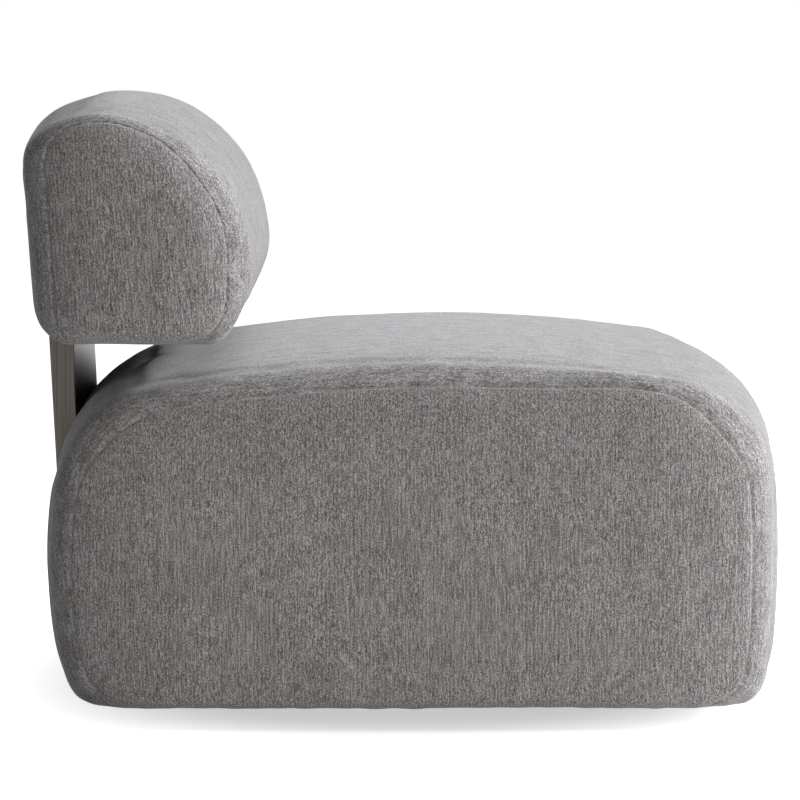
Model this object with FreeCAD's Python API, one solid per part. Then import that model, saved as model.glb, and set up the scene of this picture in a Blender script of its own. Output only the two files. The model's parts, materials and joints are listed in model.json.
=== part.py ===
import FreeCAD, Part
import math
import os

from FreeCAD import Vector

os.makedirs("parts", exist_ok=True)

# Millimetres. The chair faces +X, its width lies along Y, +Z is up.
# The origin is on the floor, on the swivel axis.

# Overall form
overall_depth = 862.0
seat_width = 780.0
floor_gap = 20.0
cover_thickness = 2.5
cover_gap = 0.5
edge_turn = 80.0
cover_edge_turns = (0.0, 20.0, 40.0, 60.0, edge_turn)
foam_edge_turns = (0.0, 40.0, edge_turn)
flat_bulge = 600000.0
least_corner = 10.0
overshoot = 1.0

# Seat cushion, at the middle of its width
seat_top_z = 412.5
seat_back_setback = 22.0
seat_front_z = 178.0
seat_back_z = 183.0
seat_top_x = 38.5
seat_front_bulge = 910.0
seat_back_bulge = 510.0
seat_top_bulge = 1805.0
seat_top_front_corner = 125.0
seat_top_back_corner = 123.0
seat_bottom_corner = 33.0
seat_top_corner_share = 0.6
seat_bottom_corner_share = 0.1
seat_front_crown = 27.0
seat_back_crown = 16.5
seat_top_crown = 10.0
seat_edge_width = 62.0
seat_edge_inset = 99.0
seat_edge_bottom_share = 0.1
seat_seam_inset = 17.0

# Back cushion, at the middle of its width
backrest_width = 710.0
backrest_top_z = 696.8
backrest_bottom_z = 417.1
backrest_depth = 261.0
backrest_back_setback = -0.6
backrest_front_z = 536.0
backrest_back_z = 642.0
backrest_top_reach = 119.0
backrest_front_tilt = 1.5
backrest_back_tilt = 3.8
backrest_top_tilt = 2.4
backrest_front_bulge = 246.0
backrest_back_bulge = 8000.0
backrest_top_bulge = 270.0
backrest_bottom_bulge = 20000.0
backrest_top_front_corner = 162.0
backrest_top_back_corner = 47.0
backrest_bottom_front_corner = 32.5
backrest_bottom_back_corner = 40.0
backrest_top_front_share = 1.2
backrest_top_back_share = 0.5
backrest_bottom_corner_share = 0.2
backrest_front_crown = 1.2
backrest_back_crown = 6.0
backrest_top_crown = 20.3
backrest_bottom_crown = 2.0
backrest_edge_width = 53.3
backrest_edge_inset = 70.3
backrest_edge_bottom_share = 0.15
backrest_seam_inset = 16.8

# Post: a folded sleeve over two flat bars
post_lean = 2.8
post_setback = 37.0
post_reference_z = 404.0
sleeve_width = 320.0
sleeve_thickness = 28.0
sleeve_wall = 1.5
sleeve_edge_radius = 2.5
sleeve_bottom_z = 222.0
sleeve_top_z = 446.0
sleeve_clearance = 0.8
bar_width = 50.0
bar_thickness = 10.0
bar_spread = 190.0
bar_bottom_z = 105.0
bar_bend_z = 226.0
bar_top_z = 602.0
bar_clearance = 0.5
spacer_height = 24.0
spacer_margin = 12.0

# Timber frame of the seat
side_padding = 59.0
front_padding = 34.0
back_padding = 41.0
panel_thickness = 18.0
rail_thickness = 18.0
base_panel_thickness = 15.0
deck_z = 281.0
deck_pad_thickness = 3.8
panel_corner = 40.0
batten_width = 37.0
batten_setback = 10.0
corner_block_leg = 60.0
corner_block_height = 180.0
mount_block_width = 80.0

# Elastic webbing
webbing_width = 70.0
webbing_thickness = 2.0
webbing_long_count = 5
webbing_cross_count = 5

# Timber frame of the back
board_thickness = 18.0
board_end_gap = 45.0
board_bottom_z = 433.1
board_top_z = 640.0
board_notch_gap = 2.0
base_board_thickness = 15.0
base_board_z = 425.6
base_board_reach = 201.0
rib_thickness = 15.0
rib_reach = 167.0
rib_front_z = 560.0
rib_top_drop = 8.0

# Swivel base
glide_height = 4.0
glide_diameter = 28.0
glide_count = 5
glide_chamfer = 1.0
glide_circle = 430.0
peg_diameter = 6.0
peg_length = 9.0
plinth_diameter = 510.0
plinth_thickness = 16.0
plinth_chamfer = 1.5
plate_diameter = 330.0
plate_thickness = 2.5
ball_diameter = 8.0
ball_count = 12
race_circle = 240.0
race_ring_width = 20.0
race_clearance = 0.05
race_floor = 2.0
race_opening = 2.4
cage_thickness = 1.6
cage_width = 17.0
cage_clearance = 0.15
plate_screw_count = 4
plate_screw_circle = 304.0
lower_screw_diameter = 4.0
lower_screw_length = 11.0
lower_screw_head = 2.0
upper_bolt_diameter = 6.0
upper_bolt_head_diameter = 10.0
upper_bolt_head = 3.0
upper_nut_across = 10.0
upper_nut_height = 5.0
pivot_diameter = 16.0
pivot_head_diameter = 26.0
pivot_head_height = 6.4
pivot_washer_diameter = 32.0
pivot_washer_height = 2.0
pivot_nut_across = 24.0
pivot_nut_height = 10.0
pivot_hole_diameter = 52.0
bolt_end = 2.0
pivot_clearance = 0.05
bush_wall = 3.0
bush_flange = 2.0
thrust_clearance = 0.2
hole_clearance = 0.3
dust_cover_thickness = 0.8
dust_cover_drop = 0.2
dust_cover_overlap = 14.0
dust_cover_hole_gap = 7.0

# Bolts of the post
post_bolt_diameter = 8.0
post_bolt_head = 5.0
post_bolt_head_diameter = 13.0
post_nut_across = 13.0
post_nut_height = 6.5
post_bolt_inset = 25.0
backrest_bolt_rise = 40.0
head_clearance = 0.5
tee_nut_flange = 1.6
tee_nut_diameter = 20.0
tee_nut_barrel = 11.0
tee_nut_barrel_length = 10.0

# Values that follow from the sizes above
far = 2 * overall_depth
rear_x = -overall_depth / 2
seat_front_x = overall_depth / 2
seat_back_x = rear_x + seat_back_setback
backrest_back_x = rear_x + backrest_back_setback
backrest_front_x = rear_x + backrest_depth
backrest_top_x = rear_x + backrest_top_reach
base_board_front_x = rear_x + base_board_reach
rib_front_x = rear_x + rib_reach
post_reference_x = rear_x + post_setback
lean_slope = math.tan(math.radians(post_lean))
lean_normal = Vector(math.cos(math.radians(post_lean)), 0, math.sin(math.radians(post_lean)))
foam_inset = cover_thickness + cover_gap
frame_front_x = seat_front_x - seat_front_crown - front_padding
frame_back_x = seat_back_x + seat_back_crown + back_padding
frame_bottom_z = floor_gap + foam_inset
panel_outer_y = seat_width / 2 - side_padding
panel_inner_y = panel_outer_y - panel_thickness
deck_pad_z = deck_z - deck_pad_thickness
panel_top_z = deck_pad_z - webbing_thickness
rail_top_z = panel_top_z - webbing_thickness
plinth_top_z = glide_height + plinth_thickness
ball_z = plinth_top_z + race_floor + race_clearance + ball_diameter / 2
bearing_top_z = 2 * ball_z - plinth_top_z
base_panel_top_z = bearing_top_z + base_panel_thickness


def post_x(z):
    """Centre of the post at a height."""
    return post_reference_x - lean_slope * (z - post_reference_z)


bar_foot_x = post_x(bar_bend_z)
bar_foot_front_x = bar_foot_x + bar_thickness / 2


# Cushion forms
# A section of a cushion is four slack side arcs joined by four corner arcs.
# Each arc touches its neighbours, so the section has no crease.

def side_arc(apex_x, apex_z, angle, radius):
    """Circle whose outermost point in the given direction is the apex."""
    nx = math.cos(math.radians(angle))
    nz = math.sin(math.radians(angle))
    return {"x": apex_x - radius * nx, "z": apex_z - radius * nz, "r": radius, "nx": nx, "nz": nz}


def corner_arc(first, second, radius):
    """Circle inside two side arcs that touches both, at the corner between them."""
    reach_first = first["r"] - radius
    reach_second = second["r"] - radius
    dx = second["x"] - first["x"]
    dz = second["z"] - first["z"]
    gap = math.hypot(dx, dz)
    along = (reach_first ** 2 - reach_second ** 2 + gap ** 2) / (2 * gap)
    across = math.sqrt(reach_first ** 2 - along ** 2)
    best = None
    for sign in (1, -1):
        x = first["x"] + dx / gap * along - sign * dz / gap * across
        z = first["z"] + dz / gap * along + sign * dx / gap * across
        score = x * (first["nx"] + second["nx"]) + z * (first["nz"] + second["nz"])
        if best is None or score > best[0]:
            best = (score, x, z)
    return {"x": best[1], "z": best[2], "r": radius}


def touch_point(arc, corner, y):
    """Point where a side arc meets a corner arc."""
    ux = corner["x"] - arc["x"]
    uz = corner["z"] - arc["z"]
    length = math.hypot(ux, uz)
    return Vector(arc["x"] + ux / length * arc["r"], y, arc["z"] + uz / length * arc["r"])


def arc_edge(arc, start, end):
    """Cubic edge that follows a circle from start to end by the short way."""
    first = Vector(start.x - arc["x"], 0, start.z - arc["z"])
    last = Vector(end.x - arc["x"], 0, end.z - arc["z"])
    side = 1 if first.cross(last).y < 0 else -1
    reach = 4 / 3 * math.tan(first.getAngle(last) / 4) * side
    leave = Vector(-first.z, 0, first.x) * reach
    arrive = Vector(-last.z, 0, last.x) * reach
    curve = Part.BezierCurve()
    curve.setPoles([start, start + leave, end - arrive, end])
    return curve.toShape()


def section_wire(form, y, edge_inset, inset):
    """Closed section of a cushion at one place of its width."""
    crown = (y / form["half_width"]) ** 2
    draw = edge_inset + inset
    shrink = edge_inset / 2 + inset
    front = side_arc(
        form["front_x"] - form["front_crown"] * crown - draw,
        form["front_z"], form["front_tilt"], form["front_bulge"] - shrink,
    )
    back = side_arc(
        form["back_x"] + form["back_crown"] * crown + draw,
        form["back_z"], 180 + form["back_tilt"], form["back_bulge"] - shrink,
    )
    top = side_arc(
        form["top_x"], form["top_z"] - form["top_crown"] * crown - draw,
        90 + form["top_tilt"], form["top_bulge"] - shrink,
    )
    bottom_draw = edge_inset * form["bottom_share"] + inset
    bottom = side_arc(
        0, form["bottom_z"] + form["bottom_crown"] * crown + bottom_draw, 270, form["bottom_bulge"],
    )
    sides = [bottom, front, top, back]
    corners = []
    for i, (radius, share) in enumerate(form["corners"]):
        tight = max(radius - share * edge_inset - inset, least_corner)
        corners.append(corner_arc(sides[i], sides[(i + 1) % 4], tight))
    edges = []
    for i in range(4):
        begin = touch_point(sides[i], corners[i - 1], y)
        end = touch_point(sides[i], corners[i], y)
        onward = touch_point(sides[(i + 1) % 4], corners[i], y)
        edges.append(arc_edge(sides[i], begin, end))
        edges.append(arc_edge(corners[i], end, onward))
    return Part.Wire(edges)


def edge_curve(angle):
    """Shares of the edge's width and inset reached after a turn of the rounded edge."""
    last = math.radians(edge_turn)
    turn = math.radians(angle)
    return math.sin(turn) / math.sin(last), (1 - math.cos(turn)) / (1 - math.cos(last))


def edge_station(form, inset, angle):
    """Place and draw-in of the section at one turn of the rounded edge."""
    out, drawn = edge_curve(angle)
    start = form["half_width"] - form["edge_width"]
    return start + (form["edge_width"] - inset) * out, (form["edge_inset"] - inset) * drawn


def smooth_cushion(form):
    """Cover's outer form: a crowned body and two ends that round over to a flat."""
    start = form["half_width"] - form["edge_width"]
    body = Part.makeLoft([section_wire(form, y, 0.0, 0.0) for y in (-start, 0.0, start)], True, False)
    ends = []
    for side in (-1, 1):
        wires = []
        for angle in cover_edge_turns:
            y, drawn = edge_station(form, 0.0, angle)
            wires.append(section_wire(form, side * y, drawn, 0.0))
        ends.append(Part.makeLoft(wires, True, False, False, 3))
    return body.fuse(ends)


def straight_cushion(form, inset):
    """Hidden inner form, straight between few sections, so it stays inside the cover."""
    half = [(0.0, 0.0)] + [edge_station(form, inset, angle) for angle in foam_edge_turns]
    stations = [(-y, drawn) for y, drawn in reversed(half[1:])] + half
    wires = [section_wire(form, y, drawn, inset) for y, drawn in stations]
    return Part.makeLoft(wires, True, True)


def seam_place(form):
    """Place along the width where the sewn seam runs."""
    full = 1 - math.cos(math.radians(edge_turn))
    angle = math.degrees(math.acos(1 - full * form["seam_inset"] / form["edge_inset"]))
    return form["half_width"] - form["edge_width"] * (1 - edge_curve(angle)[0])


seat_form = {
    "half_width": seat_width / 2,
    "front_x": seat_front_x, "front_z": seat_front_z, "front_tilt": 0.0,
    "front_bulge": seat_front_bulge, "front_crown": seat_front_crown,
    "back_x": seat_back_x, "back_z": seat_back_z, "back_tilt": 0.0,
    "back_bulge": seat_back_bulge, "back_crown": seat_back_crown,
    "top_x": seat_top_x, "top_z": seat_top_z, "top_tilt": 0.0,
    "top_bulge": seat_top_bulge, "top_crown": seat_top_crown,
    "bottom_z": floor_gap, "bottom_bulge": flat_bulge, "bottom_crown": 0.0,
    "bottom_share": seat_edge_bottom_share,
    "edge_width": seat_edge_width, "edge_inset": seat_edge_inset, "seam_inset": seat_seam_inset,
    "corners": [
        (seat_bottom_corner, seat_bottom_corner_share), (seat_top_front_corner, seat_top_corner_share),
        (seat_top_back_corner, seat_top_corner_share), (seat_bottom_corner, seat_bottom_corner_share),
    ],
}
backrest_form = {
    "half_width": backrest_width / 2,
    "front_x": backrest_front_x, "front_z": backrest_front_z, "front_tilt": backrest_front_tilt,
    "front_bulge": backrest_front_bulge, "front_crown": backrest_front_crown,
    "back_x": backrest_back_x, "back_z": backrest_back_z, "back_tilt": backrest_back_tilt,
    "back_bulge": backrest_back_bulge, "back_crown": backrest_back_crown,
    "top_x": backrest_top_x, "top_z": backrest_top_z, "top_tilt": backrest_top_tilt,
    "top_bulge": backrest_top_bulge, "top_crown": backrest_top_crown,
    "bottom_z": backrest_bottom_z, "bottom_bulge": backrest_bottom_bulge,
    "bottom_crown": backrest_bottom_crown,
    "bottom_share": backrest_edge_bottom_share,
    "edge_width": backrest_edge_width, "edge_inset": backrest_edge_inset,
    "seam_inset": backrest_seam_inset,
    "corners": [
        (backrest_bottom_front_corner, backrest_bottom_corner_share),
        (backrest_top_front_corner, backrest_top_front_share),
        (backrest_top_back_corner, backrest_top_back_share),
        (backrest_bottom_back_corner, backrest_bottom_corner_share),
    ],
}


# Plain shapes

def block(x0, x1, y0, y1, z0, z1):
    """Box between two corners."""
    return Part.makeBox(x1 - x0, y1 - y0, z1 - z0, Vector(x0, y0, z0))


def prism(points, y0, y1):
    """Polygon in the XZ plane carried along Y."""
    corners = [Vector(x, y0, z) for x, z in points]
    face = Part.Face(Part.makePolygon(corners + corners[:1]))
    return face.extrude(Vector(0, y1 - y0, 0))


def post_prism(front, back, y0, y1, z0, z1):
    """Leaning block between two offsets from the post's centre."""
    points = [
        (post_x(z0) + back, z0), (post_x(z0) + front, z0),
        (post_x(z1) + front, z1), (post_x(z1) + back, z1),
    ]
    return prism(points, y0, y1)


def rod(radius, start, direction, length):
    """Round bar from a point along a direction."""
    return Part.makeCylinder(radius, length, start, direction)


def hexagon(across_flats, start, direction, height):
    """Hexagonal block from a point along a direction."""
    flat = Part.makePolygon([
        Vector(
            across_flats / math.sqrt(3) * math.cos(math.radians(60 * i)),
            across_flats / math.sqrt(3) * math.sin(math.radians(60 * i)), 0,
        )
        for i in range(7)
    ])
    solid = Part.Face(flat).extrude(Vector(0, 0, height))
    turn = FreeCAD.Rotation(Vector(0, 0, 1), direction)
    solid.Placement = FreeCAD.Placement(start, turn)
    return solid


def circle_places(diameter, count, phase=0.0):
    """Places spread evenly on a circle around the swivel axis."""
    places = []
    for i in range(count):
        turn = 2 * math.pi * i / count + phase
        places.append((diameter / 2 * math.cos(turn), diameter / 2 * math.sin(turn)))
    return places


def one_of(shape):
    """The single solid of a shape, or a compound of its solids."""
    solids = shape.Solids
    return solids[0] if len(solids) == 1 else Part.makeCompound(solids)


def save(node, shape):
    """Write one node."""
    shape = one_of(shape)
    shape.exportStep("parts/" + node + ".step")
    print(node, len(shape.Solids), "solids,", len(shape.Faces), "faces, valid", shape.isValid())


def group(node, solids):
    """Write like solids as one node."""
    save(node, Part.makeCompound(solids))


up = Vector(0, 0, 1)

# Swivel base: glides, plinth, pressed bearing plates, balls in a cage, pivot bolt

glide_places = circle_places(glide_circle, glide_count)
glides = []
glide_holes = []
for x, y in glide_places:
    pad = rod(glide_diameter / 2, Vector(x, y, 0), up, glide_height)
    rim = [e for e in pad.Edges if e.BoundBox.ZMax < 0.01]
    pad = pad.makeChamfer(glide_chamfer, rim)
    peg = rod(peg_diameter / 2, Vector(x, y, glide_height), up, peg_length)
    glides.append(pad.fuse(peg).removeSplitter())
    glide_holes.append(
        rod(peg_diameter / 2 + pivot_clearance, Vector(x, y, glide_height), up, peg_length + overshoot)
    )
group("floor_glides", glides)

screw_places = circle_places(plate_screw_circle, plate_screw_count, math.pi / plate_screw_count)
bolt_places = circle_places(plate_screw_circle, plate_screw_count)
pivot_head_radius = pivot_head_diameter / 2
pivot_head_top_z = glide_height + plinth_thickness / 2

plinth = rod(plinth_diameter / 2, Vector(0, 0, glide_height), up, plinth_thickness)
plinth_rims = [e for e in plinth.Edges if len(e.Vertexes) == 1]
plinth = plinth.makeChamfer(plinth_chamfer, plinth_rims)
plinth_tools = list(glide_holes)
plinth_tools.append(rod(pivot_diameter / 2 + hole_clearance, Vector(0, 0, 0), up, plinth_top_z + overshoot))
plinth_tools.append(rod(pivot_head_radius + overshoot, Vector(0, 0, 0), up, pivot_head_top_z))
for x, y in screw_places:
    plinth_tools.append(
        rod(lower_screw_diameter / 2 + pivot_clearance, Vector(x, y, plinth_top_z - lower_screw_length),
            up, lower_screw_length + overshoot)
    )
save("plinth", plinth.cut(plinth_tools))


def bearing_plate(z0, z1, ring_z0, ring_z1, bore):
    """Pressed plate with a raised ring that carries the ball race."""
    disc = rod(plate_diameter / 2, Vector(0, 0, z0), up, z1 - z0)
    ring = rod((race_circle + race_ring_width) / 2, Vector(0, 0, ring_z0), up, ring_z1 - ring_z0)
    inside = rod((race_circle - race_ring_width) / 2, Vector(0, 0, ring_z0), up, ring_z1 - ring_z0)
    plate = disc.fuse(ring.cut(inside)).removeSplitter()
    race = Part.makeTorus(race_circle / 2, ball_diameter / 2 + race_clearance, Vector(0, 0, ball_z))
    return plate.cut([race, rod(bore, Vector(0, 0, 0), up, far)])


lower_plate_top_z = plinth_top_z + plate_thickness
lower_plate = bearing_plate(
    plinth_top_z, lower_plate_top_z, plinth_top_z, ball_z - race_opening / 2,
    pivot_diameter / 2 + pivot_clearance,
)
lower_plate = lower_plate.cut([
    rod(lower_screw_diameter / 2 + hole_clearance, Vector(x, y, 0), up, bearing_top_z)
    for x, y in screw_places
])
save("lower_bearing_plate", lower_plate)

lower_screws = []
for x, y in screw_places:
    shank = rod(lower_screw_diameter / 2, Vector(x, y, plinth_top_z - lower_screw_length), up,
                lower_screw_length + plate_thickness)
    head = rod(lower_screw_diameter, Vector(x, y, lower_plate_top_z), up, lower_screw_head)
    lower_screws.append(shank.fuse(head).removeSplitter())
group("lower_plate_screws", lower_screws)

upper_plate_z = bearing_top_z - plate_thickness
bush_radius = pivot_diameter / 2 + pivot_clearance + bush_wall
upper_plate = bearing_plate(
    upper_plate_z, bearing_top_z, ball_z + race_opening / 2, bearing_top_z,
    bush_radius + pivot_clearance,
)
upper_plate = upper_plate.cut([
    rod(upper_bolt_diameter / 2 + hole_clearance, Vector(x, y, 0), up, bearing_top_z + overshoot)
    for x, y in bolt_places
])
save("upper_bearing_plate", upper_plate)

bush = rod(bush_radius, Vector(0, 0, upper_plate_z), up, plate_thickness)
bush = bush.fuse(rod(bush_radius + bush_wall, Vector(0, 0, bearing_top_z), up, bush_flange))
bush = bush.removeSplitter()
bush = bush.cut(rod(pivot_diameter / 2 + pivot_clearance, Vector(0, 0, 0), up, base_panel_top_z))
save("pivot_bush", bush)

washer_z = bearing_top_z + bush_flange + thrust_clearance
pivot_nut_z = washer_z + pivot_washer_height
pivot_top_z = pivot_nut_z + pivot_nut_height + bolt_end
pivot_bolt = rod(pivot_diameter / 2, Vector(0, 0, pivot_head_top_z), up, pivot_top_z - pivot_head_top_z)
pivot_bolt = pivot_bolt.fuse(
    rod(pivot_head_radius, Vector(0, 0, pivot_head_top_z - pivot_head_height), up, pivot_head_height)
)
save("pivot_bolt", pivot_bolt.removeSplitter())
washer = rod(pivot_washer_diameter / 2, Vector(0, 0, washer_z), up, pivot_washer_height)
save("pivot_washer", washer.cut(
    rod(pivot_diameter / 2 + pivot_clearance, Vector(0, 0, 0), up, pivot_top_z)
))
pivot_nut = hexagon(pivot_nut_across, Vector(0, 0, pivot_nut_z), up, pivot_nut_height)
save("pivot_nut", pivot_nut.cut(
    rod(pivot_diameter / 2 + pivot_clearance, Vector(0, 0, 0), up, pivot_top_z)
))

ball_places = circle_places(race_circle, ball_count)
group("bearing_balls", [
    Part.makeSphere(ball_diameter / 2, Vector(x, y, ball_z)) for x, y in ball_places
])
cage = rod((race_circle + cage_width) / 2, Vector(0, 0, ball_z - cage_thickness / 2), up, cage_thickness)
cage = cage.cut(
    rod((race_circle - cage_width) / 2, Vector(0, 0, ball_z - cage_thickness), up, 2 * cage_thickness)
)
cage = cage.cut([
    rod(ball_diameter / 2 + cage_clearance, Vector(x, y, ball_z - cage_thickness), up, 2 * cage_thickness)
    for x, y in ball_places
])
save("ball_cage", cage)

# Seat frame

bolt_holes = [
    rod(upper_bolt_diameter / 2 + hole_clearance, Vector(x, y, 0), up, base_panel_top_z + overshoot)
    for x, y in bolt_places
]
base_panel = block(frame_back_x, frame_front_x, -panel_inner_y, panel_inner_y,
                   bearing_top_z, base_panel_top_z)
base_panel = base_panel.cut(
    bolt_holes + [rod(pivot_hole_diameter / 2, Vector(0, 0, 0), up, base_panel_top_z + overshoot)]
)
save("seat_base_panel", base_panel)

upper_bolts = []
upper_nuts = []
for x, y in bolt_places:
    head = rod(upper_bolt_head_diameter / 2, Vector(x, y, upper_plate_z - upper_bolt_head), up,
               upper_bolt_head)
    shank = rod(upper_bolt_diameter / 2, Vector(x, y, upper_plate_z), up,
                base_panel_top_z + upper_nut_height + bolt_end - upper_plate_z)
    upper_bolts.append(head.fuse(shank).removeSplitter())
    nut = hexagon(upper_nut_across, Vector(x, y, base_panel_top_z), up, upper_nut_height)
    upper_nuts.append(nut.cut(
        rod(upper_bolt_diameter / 2 + pivot_clearance, Vector(x, y, 0), up, far)
    ))
group("upper_plate_bolts", upper_bolts)
group("upper_plate_nuts", upper_nuts)


def side_panel(y0, y1):
    """Plywood cheek with rounded lower corners."""
    panel = block(frame_back_x, frame_front_x, y0, y1, frame_bottom_z, panel_top_z)
    lower = [
        e for e in panel.Edges
        if e.BoundBox.ZMax < frame_bottom_z + 1 and e.BoundBox.XLength < 1
    ]
    return panel.makeFillet(panel_corner, lower)


save("side_panel_left", side_panel(panel_inner_y, panel_outer_y))
save("side_panel_right", side_panel(-panel_outer_y, -panel_inner_y))

front_rail_x = frame_front_x - rail_thickness
back_rail_x = frame_back_x + rail_thickness
save("front_rail", block(front_rail_x, frame_front_x, -panel_inner_y, panel_inner_y,
                         base_panel_top_z, rail_top_z))

bar_centres = (-bar_spread / 2, bar_spread / 2)
seat_bolt_heights = (bar_bottom_z + post_bolt_inset, sleeve_bottom_z - post_bolt_inset)
forward = Vector(1, 0, 0)


def seat_bolt_tools(radius, start_x, length):
    """Round tools along the seat's post bolts."""
    return [
        rod(radius, Vector(start_x, y, z), forward, length)
        for y in bar_centres for z in seat_bolt_heights
    ]


seat_hole_tools = seat_bolt_tools(
    post_bolt_diameter / 2 + hole_clearance, bar_foot_x - bar_thickness,
    back_rail_x - bar_foot_x + 2 * bar_thickness,
)
back_rail = block(frame_back_x, back_rail_x, -panel_inner_y, panel_inner_y, base_panel_top_z, rail_top_z)
save("back_rail", back_rail.cut(seat_hole_tools))

mount_blocks = []
for y in bar_centres:
    timber = block(bar_foot_front_x, frame_back_x, y - mount_block_width / 2, y + mount_block_width / 2,
                   bar_bottom_z, sleeve_bottom_z)
    mount_blocks.append(timber.cut(seat_hole_tools))
group("post_mount_blocks", mount_blocks)

batten_front_x = frame_front_x - batten_setback
batten_back_x = frame_back_x + batten_setback
save("hem_batten_front", block(batten_front_x - batten_width, batten_front_x,
                               -panel_inner_y, panel_inner_y, frame_bottom_z, bearing_top_z))
save("hem_batten_back", block(batten_back_x, batten_back_x + batten_width,
                              -panel_inner_y, panel_inner_y, frame_bottom_z, bearing_top_z))

corner_blocks = []
for corner_x, inward in ((front_rail_x, -1), (back_rail_x, 1)):
    for side in (-1, 1):
        corner_y = side * panel_inner_y
        points = [
            Vector(corner_x, corner_y, base_panel_top_z),
            Vector(corner_x + inward * corner_block_leg, corner_y, base_panel_top_z),
            Vector(corner_x, corner_y - side * corner_block_leg, base_panel_top_z),
        ]
        face = Part.Face(Part.makePolygon(points + points[:1]))
        corner_blocks.append(face.extrude(Vector(0, 0, corner_block_height)))
group("corner_blocks", corner_blocks)

# Elastic webbing: long straps on the rails, cross straps over them on the side panels

long_step = 2 * panel_inner_y / webbing_long_count
for i in range(webbing_long_count):
    centre_y = (i - (webbing_long_count - 1) / 2) * long_step
    save("webbing_long_%d" % (i + 1), block(
        frame_back_x, frame_front_x, centre_y - webbing_width / 2, centre_y + webbing_width / 2,
        rail_top_z, panel_top_z,
    ))
cross_step = (front_rail_x - back_rail_x) / webbing_cross_count
for i in range(webbing_cross_count):
    centre_x = back_rail_x + (i + 0.5) * cross_step
    save("webbing_cross_%d" % (i + 1), block(
        centre_x - webbing_width / 2, centre_x + webbing_width / 2, -panel_outer_y, panel_outer_y,
        panel_top_z, deck_pad_z,
    ))

save("deck_pad", block(frame_back_x, frame_front_x, -panel_outer_y, panel_outer_y, deck_pad_z, deck_z))

# Post: bars, sleeve, spacers, bolts

half_bar = bar_thickness / 2
backrest_bolt_heights = (sleeve_top_z + backrest_bolt_rise, bar_top_z - post_bolt_inset)


def backrest_bolt_tools(radius, offset, length):
    """Round tools along the back's post bolts, square to the leaning bars."""
    tools = []
    for y in bar_centres:
        for z in backrest_bolt_heights:
            centre = Vector(post_x(z), y, z)
            tools.append(rod(radius, centre + lean_normal * offset, lean_normal, length))
    return tools


backrest_holes = backrest_bolt_tools(
    post_bolt_diameter / 2 + hole_clearance, -2 * bar_thickness, 3 * bar_thickness + board_thickness
)


def bar_prism(y, grow):
    """Flat bar: upright at the seat, leaning with the post above."""
    half = half_bar + grow
    low_z = bar_bottom_z - grow
    high_z = bar_top_z + grow
    points = [
        (bar_foot_x - half, low_z), (bar_foot_x + half, low_z),
        (bar_foot_x + half, bar_bend_z), (post_x(high_z) + half, high_z),
        (post_x(high_z) - half, high_z), (bar_foot_x - half, bar_bend_z),
    ]
    return prism(points, y - bar_width / 2 - grow, y + bar_width / 2 + grow)


for node, y in (("post_bar_right", bar_centres[0]), ("post_bar_left", bar_centres[1])):
    save(node, bar_prism(y, 0).cut(seat_hole_tools + backrest_holes))

half_sleeve = sleeve_thickness / 2
inner_half = half_sleeve - sleeve_wall
sleeve = post_prism(half_sleeve, -half_sleeve, -sleeve_width / 2, sleeve_width / 2,
                    sleeve_bottom_z, sleeve_top_z)
long_edges = [e for e in sleeve.Edges if e.BoundBox.ZLength > sleeve_top_z - sleeve_bottom_z - overshoot]
sleeve = sleeve.makeFillet(sleeve_edge_radius, long_edges)
hollow = post_prism(inner_half, -inner_half, -sleeve_width / 2 + sleeve_wall, sleeve_width / 2 - sleeve_wall,
                    sleeve_bottom_z - overshoot, sleeve_top_z + overshoot)
hollow_edges = [e for e in hollow.Edges if e.BoundBox.ZLength > sleeve_top_z - sleeve_bottom_z]
hollow = hollow.makeFillet(sleeve_edge_radius - sleeve_wall, hollow_edges)
save("post_sleeve", sleeve.cut(hollow))

spacers = []
for y in bar_centres:
    for z in (sleeve_bottom_z + spacer_margin, sleeve_top_z - spacer_margin - spacer_height):
        for front, back in ((inner_half, half_bar), (-half_bar, -inner_half)):
            spacers.append(
                post_prism(front, back, y - bar_width / 2, y + bar_width / 2, z, z + spacer_height)
            )
group("sleeve_spacers", spacers)

seat_bolts = []
seat_nuts = []
seat_head_x = bar_foot_x - half_bar - post_bolt_head
for y in bar_centres:
    for z in seat_bolt_heights:
        head = rod(post_bolt_head_diameter / 2, Vector(seat_head_x, y, z), forward, post_bolt_head)
        shank = rod(post_bolt_diameter / 2, Vector(seat_head_x + post_bolt_head, y, z), forward,
                    back_rail_x + post_nut_height + bolt_end - seat_head_x - post_bolt_head)
        seat_bolts.append(head.fuse(shank).removeSplitter())
        nut = hexagon(post_nut_across, Vector(back_rail_x, y, z), forward, post_nut_height)
        seat_nuts.append(nut.cut(
            rod(post_bolt_diameter / 2 + pivot_clearance, Vector(back_rail_x, y, z), forward, far)
        ))
group("seat_post_bolts", seat_bolts)
group("seat_post_nuts", seat_nuts)

# Frame of the back

board_front = half_bar + board_thickness
board_half_y = backrest_width / 2 - board_end_gap
board = post_prism(board_front, half_bar, -board_half_y, board_half_y, board_bottom_z, board_top_z)
notch_y = sleeve_width / 2 + board_notch_gap
notch = block(-far, 0, -notch_y, notch_y, 0, sleeve_top_z + board_notch_gap)
tee_barrels = backrest_bolt_tools(
    tee_nut_barrel / 2 + pivot_clearance, board_front - tee_nut_barrel_length - overshoot, board_thickness
)
board = board.cut(backrest_holes + tee_barrels + [notch])
save("backrest_board", board)

base_board_top_z = base_board_z + base_board_thickness
base_board = post_prism(far, board_front, -board_half_y, board_half_y, base_board_z, base_board_top_z)
base_board = base_board.cut(block(base_board_front_x, 2 * far, -far, far, 0, far))
save("backrest_base_board", base_board)

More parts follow.
